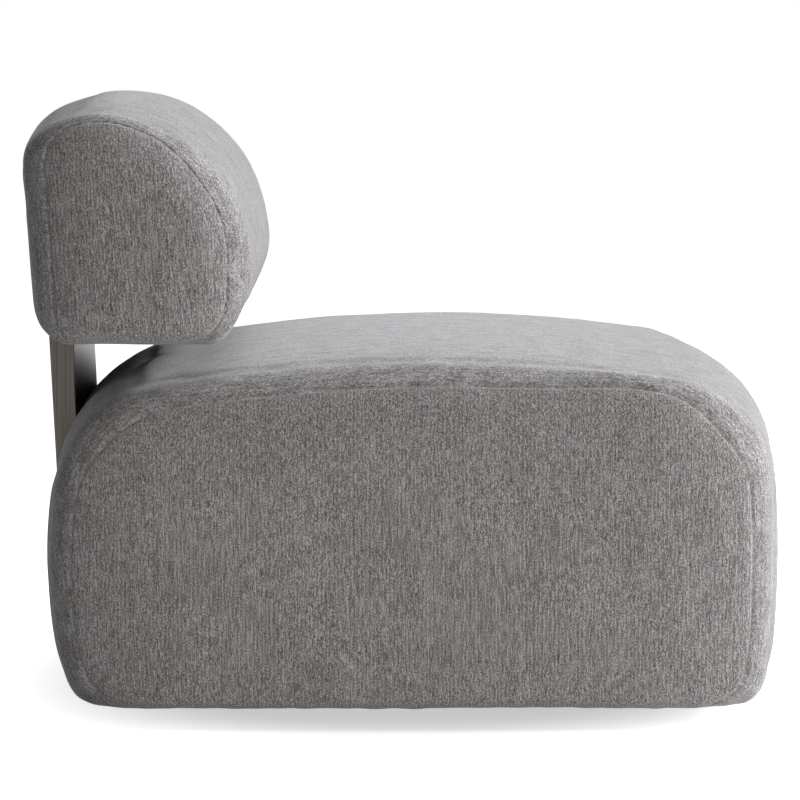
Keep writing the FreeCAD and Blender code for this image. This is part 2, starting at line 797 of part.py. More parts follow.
rib_top_z = board_top_z - rib_top_drop
rib_outline = [
    (post_x(base_board_top_z) + board_front, base_board_top_z), (base_board_front_x, base_board_top_z),
    (rib_front_x, rib_front_z), (post_x(rib_top_z) + board_front, rib_top_z),
]
rib_places = (-board_half_y, -rib_thickness / 2, board_half_y - rib_thickness)
ribs = [prism(rib_outline, y, y + rib_thickness) for y in rib_places]
group("backrest_ribs", ribs)

backrest_bolts = []
tee_nuts = []
for y in bar_centres:
    for z in backrest_bolt_heights:
        centre = Vector(post_x(z), y, z)
        rear = centre - lean_normal * (half_bar * math.cos(math.radians(post_lean)))
        face = centre + lean_normal * (board_front * math.cos(math.radians(post_lean)))
        head = rod(post_bolt_head_diameter / 2, rear - lean_normal * post_bolt_head, lean_normal,
                   post_bolt_head)
        shank = rod(post_bolt_diameter / 2, rear, lean_normal, (face - rear).Length)
        backrest_bolts.append(head.fuse(shank).removeSplitter())
        flange = rod(tee_nut_diameter / 2, face, lean_normal, tee_nut_flange)
        barrel = rod(tee_nut_barrel / 2, face - lean_normal * tee_nut_barrel_length, lean_normal,
                     tee_nut_barrel_length)
        bore = rod(post_bolt_diameter / 2 + pivot_clearance, rear, lean_normal, far)
        tee_nuts.append(flange.fuse(barrel).removeSplitter().cut(bore))
group("backrest_post_bolts", backrest_bolts)
group("backrest_tee_nuts", tee_nuts)

# Upholstery of the seat

seat_outer = smooth_cushion(seat_form)
seat_inner = straight_cushion(seat_form, cover_thickness)
seat_core = straight_cushion(seat_form, foam_inset)
seat_seam_y = seam_place(seat_form)

sleeve_slot = post_prism(
    half_sleeve + sleeve_clearance, -half_sleeve - sleeve_clearance,
    -sleeve_width / 2 - sleeve_clearance, sleeve_width / 2 + sleeve_clearance,
    sleeve_bottom_z - sleeve_clearance, sleeve_top_z + sleeve_clearance,
)
sleeve_pocket = post_prism(
    half_sleeve + sleeve_clearance, -far,
    -sleeve_width / 2 - sleeve_clearance, sleeve_width / 2 + sleeve_clearance,
    sleeve_bottom_z - sleeve_clearance, sleeve_top_z + sleeve_clearance,
)
bar_pockets = [bar_prism(y, bar_clearance) for y in bar_centres]

save("seat_foam", seat_core.common(block(-far, far, -far, far, deck_z, far)).cut(sleeve_pocket))
save("front_foam", seat_core.common(block(frame_front_x, far, -panel_outer_y, panel_outer_y, 0, deck_z)))
save("side_foam_left", seat_core.common(block(-far, far, panel_outer_y, far, 0, deck_z)))
save("side_foam_right", seat_core.common(block(-far, far, -far, -panel_outer_y, 0, deck_z)))
back_foam = seat_core.common(block(-far, frame_back_x, -panel_outer_y, panel_outer_y, 0, deck_z))
back_foam_tools = bar_pockets + [sleeve_pocket]
back_foam_tools += [
    block(bar_foot_front_x - overshoot, frame_back_x + overshoot,
          y - mount_block_width / 2, y + mount_block_width / 2, bar_bottom_z, sleeve_bottom_z)
    for y in bar_centres
]
back_foam_tools += seat_bolt_tools(
    post_bolt_head_diameter / 2 + head_clearance, seat_head_x - head_clearance,
    post_bolt_head + head_clearance + overshoot,
)
save("back_foam", back_foam.cut(back_foam_tools))

hem_opening = block(batten_back_x + batten_width, batten_front_x - batten_width,
                    -panel_inner_y, panel_inner_y, 0, frame_bottom_z + overshoot)
seat_skin = seat_outer.cut(seat_inner).cut([hem_opening, sleeve_slot])
seam_slab = block(-far, far, -seat_seam_y, seat_seam_y, 0, far)
save("seat_cover_band", seat_skin.common(seam_slab))
save("seat_side_cover_left", seat_skin.common(block(-far, far, seat_seam_y, far, 0, far)))
save("seat_side_cover_right", seat_skin.common(block(-far, far, -far, -seat_seam_y, 0, far)))

dust_z = floor_gap - dust_cover_thickness - dust_cover_drop
dust_cover = block(
    batten_back_x + batten_width - dust_cover_overlap, batten_front_x - batten_width + dust_cover_overlap,
    -panel_inner_y - dust_cover_overlap, panel_inner_y + dust_cover_overlap,
    dust_z, dust_z + dust_cover_thickness,
)
dust_hole = rod(plinth_diameter / 2 + dust_cover_hole_gap, Vector(0, 0, 0), up, floor_gap)
save("dust_cover", dust_cover.cut(dust_hole))

# Upholstery of the back

back_outer = smooth_cushion(backrest_form)
back_inner = straight_cushion(backrest_form, cover_thickness)
back_core = straight_cushion(backrest_form, foam_inset)
back_seam_y = seam_place(backrest_form)

rear_zone = post_prism(half_bar, -far, -far, far, 0, far)
under_zone = block(-far, far, -far, far, 0, base_board_z)
main_foam = back_core.cut([rear_zone, under_zone])
main_tools = ribs + [sleeve_slot]
main_tools.append(post_prism(board_front, 0, -board_half_y, board_half_y, board_bottom_z, board_top_z))
main_tools.append(base_board)
main_tools += backrest_bolt_tools(
    tee_nut_diameter / 2 + head_clearance, half_bar + board_thickness / 2,
    board_thickness / 2 + tee_nut_flange + head_clearance,
)
save("backrest_foam", main_foam.cut(main_tools))
rear_foam = back_core.common(rear_zone)
rear_tools = bar_pockets + [sleeve_pocket]
rear_tools += backrest_bolt_tools(
    post_bolt_head_diameter / 2 + head_clearance, -half_bar - post_bolt_head - head_clearance,
    post_bolt_head + head_clearance + overshoot,
)
save("backrest_rear_pad", rear_foam.cut(rear_tools))

back_skin = back_outer.cut(back_inner).cut(sleeve_slot)
save("backrest_cover_band", back_skin.common(block(-far, far, -back_seam_y, back_seam_y, 0, far)))
save("backrest_end_cover_left", back_skin.common(block(-far, far, back_seam_y, far, 0, far)))
save("backrest_end_cover_right", back_skin.common(block(-far, far, -far, -back_seam_y, 0, far)))
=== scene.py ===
# %% [markdown]
# # Low swivel lounge chair
# The chair is one big upholstered seat block with a half-round back cushion that floats on a wide
# metal post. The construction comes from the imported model, where every timber, bolt and foam piece
# already has its place. This lesson dresses it: it sews the covers, brushes the post, and sets the
# chair in a pale studio. Loading the model first gives the box that the looks have to stay in.

# %% Load the construction
import json
import math

import bmesh
import bpy
import numpy as np
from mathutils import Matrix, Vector, noise
from mathutils.bvhtree import BVHTree


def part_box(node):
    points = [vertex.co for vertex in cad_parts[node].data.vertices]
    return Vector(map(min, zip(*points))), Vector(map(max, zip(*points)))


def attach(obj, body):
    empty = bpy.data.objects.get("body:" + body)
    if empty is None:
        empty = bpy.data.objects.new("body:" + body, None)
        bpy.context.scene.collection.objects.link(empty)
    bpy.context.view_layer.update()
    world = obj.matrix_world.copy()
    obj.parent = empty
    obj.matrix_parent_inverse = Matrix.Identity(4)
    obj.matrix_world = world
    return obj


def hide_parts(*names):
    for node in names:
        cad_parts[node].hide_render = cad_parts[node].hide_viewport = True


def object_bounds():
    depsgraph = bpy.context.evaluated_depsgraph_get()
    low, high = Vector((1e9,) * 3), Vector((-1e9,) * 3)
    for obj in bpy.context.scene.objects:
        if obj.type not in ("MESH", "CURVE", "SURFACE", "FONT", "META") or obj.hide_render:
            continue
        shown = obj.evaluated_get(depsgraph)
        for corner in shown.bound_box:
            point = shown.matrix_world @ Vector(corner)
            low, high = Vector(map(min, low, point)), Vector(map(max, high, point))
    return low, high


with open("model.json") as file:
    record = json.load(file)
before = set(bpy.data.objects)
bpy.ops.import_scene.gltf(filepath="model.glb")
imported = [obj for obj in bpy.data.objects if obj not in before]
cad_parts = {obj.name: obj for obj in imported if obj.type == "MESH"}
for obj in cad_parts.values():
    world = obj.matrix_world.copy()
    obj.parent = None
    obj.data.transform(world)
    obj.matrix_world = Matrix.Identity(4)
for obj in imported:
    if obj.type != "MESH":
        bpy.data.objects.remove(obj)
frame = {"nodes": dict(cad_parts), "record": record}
nodes = frame["nodes"]
cad_low, cad_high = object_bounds()
print("construction", len(nodes), "nodes, box", [round(v, 3) for v in (*cad_low, *cad_high)])

# %% [markdown]
# ## Cloth: grey chenille
# Chenille is woven from fluffy yarn, so its face is a mass of short pale tufts with dark gaps, and the
# tufts line up in strands along the warp. A picture of cloth would show its repeats, and single fibres
# would be far too many to model. So the pattern is worked out from the place of each point. A few helpers
# do that: noise that can be stretched, a mix of two patterns, waves for yarns that lie side by side,
# colours for a pattern, and the shading of a fine relief.

# %% Patterns
column_pitch = 0.0044
column_waver = 4.0
column_waver_scale = 1.5
lump_roughness = 0.6


def noise_of(tree, coordinates, size, detail):
    """Noise whose lumps have the given size along X, Y and Z."""
    mapping = tree.nodes.new("ShaderNodeMapping")
    mapping.inputs["Scale"].default_value = [1 / s for s in size]
    tree.links.new(coordinates, mapping.inputs["Vector"])
    lumps = tree.nodes.new("ShaderNodeTexNoise")
    lumps.inputs["Scale"].default_value = 1.0
    lumps.inputs["Detail"].default_value = detail
    lumps.inputs["Roughness"].default_value = lump_roughness
    tree.links.new(mapping.outputs["Vector"], lumps.inputs["Vector"])
    return lumps.outputs["Fac"]


def blend_of(tree, share, first, second):
    """Two patterns mixed by a fixed share of the second."""
    mix = tree.nodes.new("ShaderNodeMix")
    mix.inputs["Factor"].default_value = share
    tree.links.new(first, mix.inputs["A"])
    tree.links.new(second, mix.inputs["B"])
    return mix.outputs["Result"]


def columns_of(tree, coordinates, across):
    """Yarns laid side by side along one axis, not quite evenly."""
    wave = tree.nodes.new("ShaderNodeTexWave")
    wave.bands_direction = across
    wave.inputs["Scale"].default_value = math.pi / 10 / column_pitch
    wave.inputs["Distortion"].default_value = column_waver
    wave.inputs["Detail"].default_value = 1.0
    wave.inputs["Detail Scale"].default_value = column_waver_scale
    tree.links.new(coordinates, wave.inputs["Vector"])
    return wave.outputs["Fac"]


def ramp_of(tree, pattern, first, last, between=()):
    """Colours at given levels of a pattern, each a pair of level and colour."""
    ramp = tree.nodes.new("ShaderNodeValToRGB")
    stops = ramp.color_ramp.elements
    stops[0].position, stops[0].color = first
    stops[1].position, stops[1].color = last
    for level, colour in between:
        stops.new(level).color = colour
    tree.links.new(pattern, ramp.inputs["Fac"])
    return ramp.outputs["Color"]


def relief_of(tree, pattern, strength, depth):
    """Shading of a fine relief."""
    bump = tree.nodes.new("ShaderNodeBump")
    bump.inputs["Strength"].default_value = strength
    bump.inputs["Distance"].default_value = depth
    tree.links.new(pattern, bump.inputs["Height"])
    return bump.outputs["Normal"]


def new_material(name):
    """A new material, its node tree and its shader."""
    material = bpy.data.materials.new(name)
    material.use_nodes = True
    tree = material.node_tree
    return material, tree, tree.nodes["Principled BSDF"]


print("patterns, with a column every", column_pitch * 1000, "mm")

# %% [markdown]
# The chenille mixes a noise that is stretched along the strands, a finer one for single tufts, and faint
# columns. A broad slow noise adds patches that are partly uneven tone and partly painted pile sheen: the
# lighter and darker patches that the pile shows as light catches it, painted into the colour, and stronger
# on the bands, which are seen at a grazing angle. One more noise shifts the grey a little between warm and
# cool. Strands, tufts and columns also make the relief, so colour and shading agree. A little sheen gives
# the pale bloom that fluffy yarn has at a grazing angle. The strands stand upright on the end panels and
# follow the length of the bands.

# %% Chenille
yarn_dark = (0.094, 0.084, 0.077, 1)
yarn_mid = (0.272, 0.264, 0.259, 1)
yarn_pale = (0.600, 0.597, 0.600, 1)
dark_level, mid_level, pale_level = 0.365, 0.50, 0.635
warm_tint = (1.0, 0.965, 0.925, 1)
cool_tint = (0.945, 0.970, 1.0, 1)
warm_level, cool_level = 0.32, 0.68
tint_size = (0.006, 0.006, 0.006)
tuft_share = 0.62
column_share = 0.045
pile_strength = 0.45
pile_depth = 0.0015


def tinted(tree, colour, tint):
    """A colour multiplied by a tint."""
    mix = tree.nodes.new("ShaderNodeMix")
    mix.data_type = "RGBA"
    mix.blend_type = "MULTIPLY"
    mix.inputs["Factor"].default_value = 1.0
    # By name the node gives its number sockets, so the colour sockets are taken by their places.
    tree.links.new(colour, mix.inputs[6])
    tree.links.new(tint, mix.inputs[7])
    return mix.outputs[2]


def chenille(name, across, tilt, tufts, strands, tone_and_sheen_patches, tone_and_sheen_share):
    """Chenille with lumps of the given sizes, turned about Y by a tilt in degrees."""
    material, tree, shader = new_material(name)
    place = tree.nodes.new("ShaderNodeTexCoord")
    turn = tree.nodes.new("ShaderNodeMapping")
    turn.inputs["Rotation"].default_value = (0, math.radians(tilt), 0)
    tree.links.new(place.outputs["Object"], turn.inputs["Vector"])
    at = turn.outputs["Vector"]
    pile = blend_of(tree, tuft_share, noise_of(tree, at, strands, 1.0), noise_of(tree, at, tufts, 1.0))
    pile = blend_of(tree, column_share, pile, columns_of(tree, at, across))
    # The broad patches are partly uneven tone and partly painted pile sheen: lighter and darker pile as
    # light catches it.
    shade = blend_of(tree, tone_and_sheen_share, pile, noise_of(tree, at, tone_and_sheen_patches, 3.0))
    grey = ramp_of(tree, shade, (dark_level, yarn_dark), (pale_level, yarn_pale), [(mid_level, yarn_mid)])
    tint = noise_of(tree, at, tint_size, 1.0)
    tint = ramp_of(tree, tint, (warm_level, warm_tint), (cool_level, cool_tint))
    tree.links.new(tinted(tree, grey, tint), shader.inputs["Base Color"])
    tree.links.new(relief_of(tree, pile, pile_strength, pile_depth), shader.inputs["Normal"])
    shader.inputs["Roughness"].default_value = 0.92
    shader.inputs["Specular IOR Level"].default_value = 0.15
    shader.inputs["Sheen Weight"].default_value = 0.40
    shader.inputs["Sheen Roughness"].default_value = 0.45
    return material


# The broad patches of tone and painted pile sheen are stronger on the bands, which are seen at a grazing
# angle.
upright = {
    "tufts": (0.0010, 0.0010, 0.0018),
    "strands": (0.0011, 0.0011, 0.0130),
    "tone_and_sheen_patches": (0.018, 0.018, 0.060),
    "tone_and_sheen_share": 0.08,
}
lengthwise = {
    "tufts": (0.0012, 0.0032, 0.0012),
    "strands": (0.0040, 0.0011, 0.0040),
    "tone_and_sheen_patches": (0.026, 0.012, 0.026),
    "tone_and_sheen_share": 0.22,
}
cloth_band = chenille("chenille_band", "Y", 0, **lengthwise)
cloth_side = chenille("chenille_side", "X", 0, **upright)
cloth_end = chenille("chenille_end", "X", 4, **upright)
print("chenille", cloth_band.name, cloth_side.name, cloth_end.name)

# %% [markdown]
# ## Cushions: form, swelling, seams
# Each cushion is a foam block in a sewn cover: a long band over top, front, back and underside, and a
# panel at each end. The foam pushes the cloth out between the seams, which stay put. A sculpted block
# would look carved, so the form starts as the tight skin round the cover's solids, which is meshed in
# even cells here and blown up as cloth further down. The seams are too fine for that even mesh, so it is
# sliced along them at the end.

# %% Even skin round the covers
seat_covers = ("seat_cover_band", "seat_side_cover_left", "seat_side_cover_right")
back_covers = ("backrest_cover_band", "backrest_end_cover_left", "backrest_end_cover_right")
seat_cell = 0.009
back_cell = 0.007
same_point = 0.0001


def hull_of(covers):
    """Tight convex skin round the given covers."""
    bm = bmesh.new()
    for node in covers:
        bm.from_mesh(nodes[node].data)
    bmesh.ops.remove_doubles(bm, verts=bm.verts, dist=same_point)
    bmesh.ops.delete(bm, geom=bm.faces, context="FACES_ONLY")
    hull = bmesh.ops.convex_hull(bm, input=bm.verts)
    loose = set(hull["geom_interior"]) | set(hull["geom_unused"])
    bmesh.ops.delete(bm, geom=[v for v in loose if isinstance(v, bmesh.types.BMVert)], context="VERTS")
    bmesh.ops.delete(bm, geom=[e for e in bm.edges if not e.link_faces], context="EDGES")
    bmesh.ops.recalc_face_normals(bm, faces=bm.faces)
    return bm


def piece_of(name, bm):
    """A new object from a mesh that is used up."""
    mesh = bpy.data.meshes.new(name)
    bm.to_mesh(mesh)
    bm.free()
    piece = bpy.data.objects.new(name, mesh)
    bpy.context.scene.collection.objects.link(piece)
    return piece


def settle(piece):
    """Make what the modifiers show the piece's own mesh."""
    bpy.context.view_layer.update()
    shown = piece.evaluated_get(bpy.context.evaluated_depsgraph_get())
    mesh = bpy.data.meshes.new_from_object(shown)
    piece.modifiers.clear()
    piece.data = mesh


def smooth(bm, steps):
    """Even out the points of a mesh."""
    for step in range(steps):
        bmesh.ops.smooth_vert(bm, verts=bm.verts, factor=0.5,
                              use_axis_x=True, use_axis_y=True, use_axis_z=True)


def tight_skin(name, covers, cell):
    """Closed skin round the given covers, in even cells that lie on the covers."""
    hull = hull_of(covers)
    outside = BVHTree.FromBMesh(hull)
    skin = piece_of(name, hull)
    remesh = skin.modifiers.new("even_cells", "REMESH")
    remesh.mode = "VOXEL"
    remesh.voxel_size = cell
    settle(skin)
    bm = bmesh.new()
    bm.from_mesh(skin.data)
    smooth(bm, 5)
    for v in bm.verts:
        v.co = outside.find_nearest(v.co)[0]
    smooth(bm, 2)
    bm.to_mesh(skin.data)
    bm.free()
    return skin


seat_skin = tight_skin("seat_skin", seat_covers, seat_cell)
back_skin = tight_skin("back_skin", back_covers, back_cell)
print("skins", len(seat_skin.data.vertices), len(back_skin.data.vertices), "points")

# %% [markdown]
# The construction bends from the top into the end along a quarter of an ellipse. The foam of the real
# cushion is glued to a board there and bends more tightly, close to the seam, so the ellipse is filled
# out into a squarer curve. This could be sculpted by hand, but a formula keeps both ends alike. The bend
# is given by where it starts, its width across the chair and its drop, and the filling fades out along
# each side. The seam lies a little further out than the band's solid ends.

# %% Square the rims
squareness = 2.6
up = Vector((0, 0, 1))
forward = Vector((1, 0, 0))
sideways = Vector((0, 1, 0))
seat_rim = (0.326, 0.064, 0.124)
back_rim = (0.304, 0.0533, 0.094)
seat_seam_out = 0.012
back_seam_out = 0.0045
seat_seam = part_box("seat_cover_band")[1].y + seat_seam_out
back_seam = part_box("backrest_cover_band")[1].y + back_seam_out


def ease(value, low, high):
    """Soft step from 0 at the low value to 1 at the high one."""
    share = min(max((value - low) / (high - low), 0.0), 1.0)
    return share * share * (3.0 - 2.0 * share)


def square_rim(skin, rim, facing, rise, span):
    """Fill out the bend on the side that faces along x or z, over a rise towards it and a span along it."""
    rim_start, rim_width, rim_drop = rim
    bm = bmesh.new()
    bm.from_mesh(skin.data)
    for v in bm.verts:
        across = min((abs(v.co.y) - rim_start) / rim_width, 1.0)
        if across > 0.0:
            fuller = (1.0 - across ** squareness) ** (1.0 / squareness) - math.sqrt(1.0 - across ** 2)
            along = v.co.x if facing.z else v.co.z
            share = ease(along, span[0], span[1]) * ease(along, span[3], span[2])
            v.co += facing * (rim_drop * fuller * ease(v.co.dot(facing), *rise) * share)
    bm.to_mesh(skin.data)
    bm.free()


upright_span = (0.02, 0.06, 0.28, 0.40)
square_rim(seat_skin, seat_rim, up, (0.27, 0.36), (-0.42, -0.30, 0.30, 0.42))
square_rim(seat_skin, seat_rim, forward, (0.28, 0.37), upright_span)
square_rim(seat_skin, seat_rim, -forward, (0.27, 0.36), upright_span)
square_rim(back_skin, back_rim, up, (0.57, 0.64), (-0.46, -0.40, -0.27, -0.20))
print("rims squared, seams at", round(seat_seam, 4), "and", round(back_seam, 4))

# %% [markdown]
# The foam is trimmed by hand, so a cushion is no exact section: a shoulder stands fuller than the form,
# the front of an end leaner. Each lump below moves the cloth by a few millimetres round one spot in the
# side view and fades out over its reach. Most work only near the ends, so the middle keeps its form.

# %% Lumps
lump_depth = 0.042
whole_width = -lump_depth
seat_front_lumps = (
    (0.406, 0.330, 0.0025, 0.0025, 0.05),
    (0.432, 0.190, -0.0018, 0.0, 0.10),
)
seat_shoulder = (0.271, 0.370, 0.0, 0.010, 0.11)
back_crown = (-0.350, 0.661, 0.0, 0.009, 0.060)
back_front_corner = (-0.187, 0.452, 0.0090, -0.003, 0.035)
back_rear_corner = (-0.386, 0.438, -0.002, -0.005, 0.030)
back_lower_edge = (-0.235, 0.426, 0.0, 0.0035, 0.035)


def trim(skin, start, lumps):
    """Move the cloth beyond a start in y by lumps of (x, z, move x, move z, reach)."""
    bm = bmesh.new()
    bm.from_mesh(skin.data)
    for v in bm.verts:
        share = ease(abs(v.co.y), start, start + lump_depth)
        move = Vector()
        for x, z, move_x, move_z, reach in lumps:
            near = math.exp(-((v.co.x - x) ** 2 + (v.co.z - z) ** 2) / reach ** 2)
            move += Vector((move_x, 0.0, move_z)) * near
        v.co += move * share
    bm.to_mesh(skin.data)
    bm.free()


back_lumps = (back_crown, back_front_corner, back_rear_corner, back_lower_edge)
trim(seat_skin, seat_seam - lump_depth, (seat_shoulder,))
trim(seat_skin, whole_width, seat_front_lumps)
trim(back_skin, back_seam - lump_depth, back_lumps)
print("lumps", 1 + len(seat_front_lumps), "on the seat,", len(back_lumps), "on the back")

# %% [markdown]
# The filling presses the cloth out, and the seams hold it. Cloth within a finger's breadth of a seam or
# on the underside is held here too. The rest starts a little inside its final place and is blown up by
# cloth simulation, which gives a fuller middle and a tauter rim than scaling would. No point moves
# further than the cap, so the chair keeps its outline.

# %% Swell the cushions
start_inset = 0.0010
held_reach = 0.007
seam_ease = 0.020
pressure = 4.0
last_frame = 20


def points_of(mesh):
    """The mesh's points as an array."""
    points = np.empty(len(mesh.vertices) * 3, np.float32)
    mesh.vertices.foreach_get("co", points)
    return points.reshape(-1, 3).astype(float)


def inset(skin, held_below):
    """Draw the skin in above the held underside, and tell which way is out."""
    bm = bmesh.new()
    bm.from_mesh(skin.data)
    bm.normal_update()
    outward = np.array([v.normal[:] for v in bm.verts])
    for v in bm.verts:
        if v.co.z > held_below:
            v.co -= v.normal * start_inset
    bm.to_mesh(skin.data)
    bm.free()
    return outward


def inflate(skin, held):
    """Blow the skin up as cloth, apart from the held points."""
    cloth = skin.modifiers.new("cloth", "CLOTH")
    cloth.settings.quality = 4
    cloth.settings.mass = 0.3
    cloth.settings.tension_stiffness = 15
    cloth.settings.compression_stiffness = 15
    cloth.settings.bending_stiffness = 0.5
    cloth.settings.use_pressure = True
    cloth.settings.uniform_pressure_force = pressure
    cloth.settings.vertex_group_mass = held.name
    cloth.settings.effector_weights.gravity = 0.0
    cloth.point_cache.frame_start = 1
    cloth.point_cache.frame_end = last_frame
    for number in range(1, last_frame + 1):
        bpy.context.scene.frame_set(number)
    settle(skin)
    bpy.context.scene.frame_set(1)


def swell(skin, seam, held_below, cap):
    """Swell the skin by no more than a cap, held at the seams and on the underside."""
    outward = inset(skin, held_below)
    start = points_of(skin.data)
    held = skin.vertex_groups.new(name="held")
    for i, (x, y, z) in enumerate(start):
        if abs(abs(y) - seam) < held_reach or z < held_below:
            held.add([i], 1.0, "REPLACE")
    inflate(skin, held)
    rise = np.sum((points_of(skin.data) - start) * outward, axis=1, keepdims=True)
    apart = np.abs(np.abs(start[:, 1:2]) - seam)
    rise = np.clip(rise, 0.0, cap) * (1.0 - np.exp(-(apart / seam_ease) ** 2))
    skin.data.vertices.foreach_set("co", (start + outward * rise).astype(np.float32).ravel())
    print(skin.name, "swelled", round(float(rise.mean()) * 1000, 2), "mm on average")


swell(seat_skin, seat_seam, 0.030, 0.0030)
swell(back_skin, back_seam, 0.428, 0.0018)

# %% [markdown]
# The back cushion hangs a little: its front is fuller low down, and below that the cloth is drawn in under
# the cushion, most of all between the ends. That is one push and one pull, each round its own height.
# Before that, both skins get one smooth subdivision, since finer cloth cells would slow the swelling down.

# %% Refine, and fill the belly
belly_height, belly_spread, belly_fill = 0.495, 0.035, 0.0045
fold_height, fold_spread, fold_depth = 0.438, 0.018, 0.0085
belly_ease = 0.060
facing_front = 0.2


def refine(skin):
    """One smooth subdivision, then hand the mesh over."""
    finer = skin.modifiers.new("finer", "SUBSURF")
    finer.levels = 1
    finer.render_levels = 1
    settle(skin)
    bm = bmesh.new()
    bm.from_mesh(skin.data)
    bpy.data.objects.remove(skin)
    return bm


def belly(bm, seam):
    """Fuller front and a drawn-in lower edge, where the foam hangs between the ends."""
    bm.normal_update()
    for v in bm.verts:
        if v.normal.x > facing_front:
            inner = ease(seam - abs(v.co.y), 0.0, belly_ease)
            full = belly_fill * math.exp(-((v.co.z - belly_height) / belly_spread) ** 2)
            drawn = fold_depth * math.exp(-((v.co.z - fold_height) / fold_spread) ** 2)
            v.co.x += inner * (full - drawn)


seat_bm = refine(seat_skin)
back_bm = refine(back_skin)
belly(back_bm, back_seam)
print("refined", len(seat_bm.verts), len(back_bm.verts), "points")

# %% [markdown]
# Real covers are never perfectly even: the foam under them has been glued and trimmed by hand, and the
# hem is stapled by eye. A slow unevenness of about a millimetre, and a livelier one along the hem, take
# the drawn look away. Both are noise at the point's own place, so they are the same each run.

# %% Unevenness
slow_pitch, quick_pitch, quick_share = 7.0, 17.0, 0.5
seat_unevenness = 0.0012
back_unevenness = 0.0010
hem_start, hem_height = 0.020, 0.060
hem_lift, hem_pitch = 0.0026, 9.0
ripple_depth, ripple_pitch = 0.0012, 45.0


def uneven(bm, height):
    """Slow unevenness all over."""
    bm.normal_update()
    for v in bm.verts:
        slow = noise.noise(v.co * slow_pitch) + quick_share * noise.noise(v.co * quick_pitch)
        v.co += v.normal * (slow * height)


def wavy_hem(bm):
    """A lower edge that rises and falls, with small ripples."""
    for v in bm.verts:
        low = max(0.0, 1.0 - (v.co.z - cad_low.z - hem_start) / hem_height)
        if low:
            v.co.z += low * hem_lift * noise.noise(Vector((v.co.x * hem_pitch, v.co.y * hem_pitch, 0.0)))
            spot = Vector((v.co.x * ripple_pitch, v.co.y * ripple_pitch, 3.0))
            v.co += v.normal * (low * ripple_depth * noise.noise(spot))


uneven(seat_bm, seat_unevenness)
wavy_hem(seat_bm)
uneven(back_bm, back_unevenness)
print("unevenness", seat_unevenness * 1000, "and", back_unevenness * 1000, "mm")

# %% [markdown]
# A plain seam is two edges of cloth sewn together and turned in. From outside it is a fine valley, and
# the stitches pull it unevenly deep. A dark painted line would look flat, so slices parallel to the seam
# give the mesh the edges that it needs there, and every slice is drawn in by its distance.

# %% Seams
seam_depth = 0.0011
seam_width = 0.0010
seam_reach = 0.010
seam_slices = (-0.0028, -0.0014, -0.0006, 0.0, 0.0006, 0.0014, 0.0028)
seam_slice_room = 0.012
stitch_share, stitch_pitch = 0.35, 120.0
on_plane = 0.00002


def slice_mesh(bm, spot, direction, room):
    """Cut the faces within some room of a plane along it."""
    spot = Vector(spot)
    direction = Vector(direction).normalized()
    near = [f for f in bm.faces if abs((f.calc_center_median() - spot).dot(direction)) < room]
    parts = set(near)
    for f in near:
        parts.update(f.edges)
        parts.update(f.verts)
    bmesh.ops.bisect_plane(bm, geom=list(parts), dist=on_plane, plane_co=spot, plane_no=direction)


def sew(bm, seam):
    """Draw the cloth in along the two seams."""
    for side in (-1, 1):
        for step in seam_slices:
            slice_mesh(bm, (0, side * (seam + step), 0), sideways, seam_slice_room)
    bm.normal_update()
    for v in bm.verts:
        apart = abs(abs(v.co.y) - seam)
        if apart < seam_reach:
            pull = 1.0 + stitch_share * noise.noise(v.co * stitch_pitch)
            v.co -= v.normal * (seam_depth * pull * math.exp(-(apart / seam_width) ** 2))


sew(seat_bm, seat_seam)
sew(back_bm, back_seam)
print("sewn", len(seat_bm.verts), len(back_bm.verts), "points")

# %% [markdown]
# The post passes through both covers. Each has a slot there, whose edges are tucked in round the metal.
# A Boolean would leave ragged cells, so four slices along the post's faces give clean edges, and the
# cloth between them is taken out. The seat's underside is open inside its hem battens, where the dust
# cloth closes it and the swivel base reaches the frame.

# %% Openings
sleeve_low, sleeve_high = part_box("post_sleeve")
sleeve_points = points_of(nodes["post_sleeve"].data)
end_band = 0.0005
sleeve_top = sleeve_points[sleeve_points[:, 2] > sleeve_high.z - end_band]
sleeve_foot = sleeve_points[sleeve_points[:, 2] < sleeve_low.z + end_band]
post_rise = Vector((sleeve_top.mean(0) - sleeve_foot.mean(0)).tolist()).normalized()
post_face = post_rise.cross(sideways).normalized()
post_centre = Vector(((sleeve_top.mean(0) + sleeve_foot.mean(0)) / 2).tolist())
post_half = float(np.ptp(sleeve_foot[:, 0])) / 2
slot_room = 0.0006
seat_slot_heights = (0.230, 0.420)
back_slot_heights = (0.405, 0.445)
tuck_depth = 0.008
face_slice_room = 0.05
edge_slice_room = 0.02
underside_top = 0.06


def cut_slot(bm, low, high):
    """Take out the cloth where the post passes between two heights."""
    half_x = post_half + slot_room
    half_y = sleeve_high.y + slot_room
    for side in (-1, 1):
        slice_mesh(bm, post_centre + post_face * (side * half_x), post_face, face_slice_room)
        slice_mesh(bm, (0, side * half_y, 0), sideways, edge_slice_room)
    inside = []
    for f in bm.faces:
        middle = f.calc_center_median()
        across = abs((middle - post_centre).dot(post_face))
        if across < half_x and abs(middle.y) < half_y and low < middle.z < high:
            inside.append(f)
    bmesh.ops.delete(bm, geom=inside, context="FACES")
    tuck(bm)
    return len(inside)


def tuck(bm):
    """Turn open edges inwards."""
    rim = [e for e in bm.edges if e.is_boundary]
    turned = bmesh.ops.extrude_edge_only(bm, edges=rim)["geom"]
    corners = [g for g in turned if isinstance(g, bmesh.types.BMVert)]
    inward = {}
    for v in corners:
        source = [e.other_vert(v) for e in v.link_edges if e.other_vert(v) not in corners]
        inward[v] = source[0].normal.copy() if source else up.copy()
    for v, normal in inward.items():
        v.co -= normal * tuck_depth


